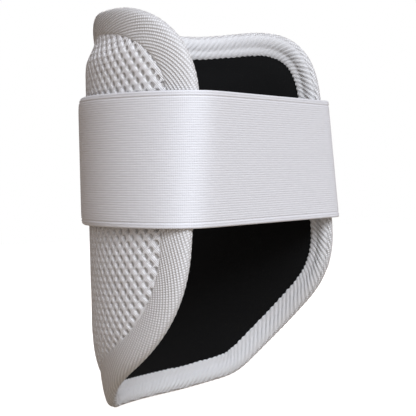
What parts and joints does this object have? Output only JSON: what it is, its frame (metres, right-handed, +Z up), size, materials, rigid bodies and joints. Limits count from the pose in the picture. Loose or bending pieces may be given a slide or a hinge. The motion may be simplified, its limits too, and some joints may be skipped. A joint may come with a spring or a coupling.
{
  "type": "thigh guard",
  "caption": "C-shaped padded thigh guard: mesh outer face, dark lining and bound edge, held round the leg by a wide elastic strap that closes across the opening.",
  "frame": {"origin": "on the leg's axis, at the strap's mid height; the shell's surface is an upright cone about this axis", "axes": "+Z up the leg; -Y toward the protective face; +Y toward the opening; +X toward the near wing, over which the strap is sewn on"},
  "size_m": [0.1947, 0.1221, 0.2361],
  "materials": {
    "spacer_mesh": "white knitted spacer mesh, matte",
    "black_lining": "black brushed lining, dead matte",
    "twill_tape": "white twill binding tape, soft sheen",
    "elastic": "white ribbed woven elastic",
    "foam": "closed cell foam",
    "soft_foam": "soft foam",
    "plate": "moulded polyethylene sheet",
    "woven_backing": "plain woven polyester",
    "loop": "napped loop tape",
    "hook": "moulded hook tape",
    "thread": "polyester thread"
  },
  "bodies": {
    "guard": {"mesh_cover": "spacer_mesh", "outer_foam": "foam", "stiffener_plate": "plate", "inner_foam": "soft_foam", "inner_lining": "black_lining", "edge_binding": "twill_tape", "strap_backing": "woven_backing", "strap_near": "elastic", "root_hem": "elastic", "root_stitches": "thread", "loop_patch": "loop", "loop_stitches": "thread"},
    "span": {"strap_span": "elastic"},
    "tail": {"strap_far": "elastic", "hook_patch": "hook", "tail_hem": "elastic", "tail_stitches": "thread", "finger_tab": "twill_tape"}
  },
  "joints": [
    {"name": "near_fold", "type": "hinge", "parent": "guard", "child": "span", "pos_m": [0.08056, 0.02121, 0], "axis": [0.0667, -0.1114, -0.9915], "range_deg": [0, 110]},
    {"name": "far_fold", "type": "hinge", "parent": "span", "child": "tail", "pos_m": [-0.08085, 0.02011, 0], "axis": [-0.0357, 0.007, -0.9993], "range_deg": [0, 100]}
  ]
}
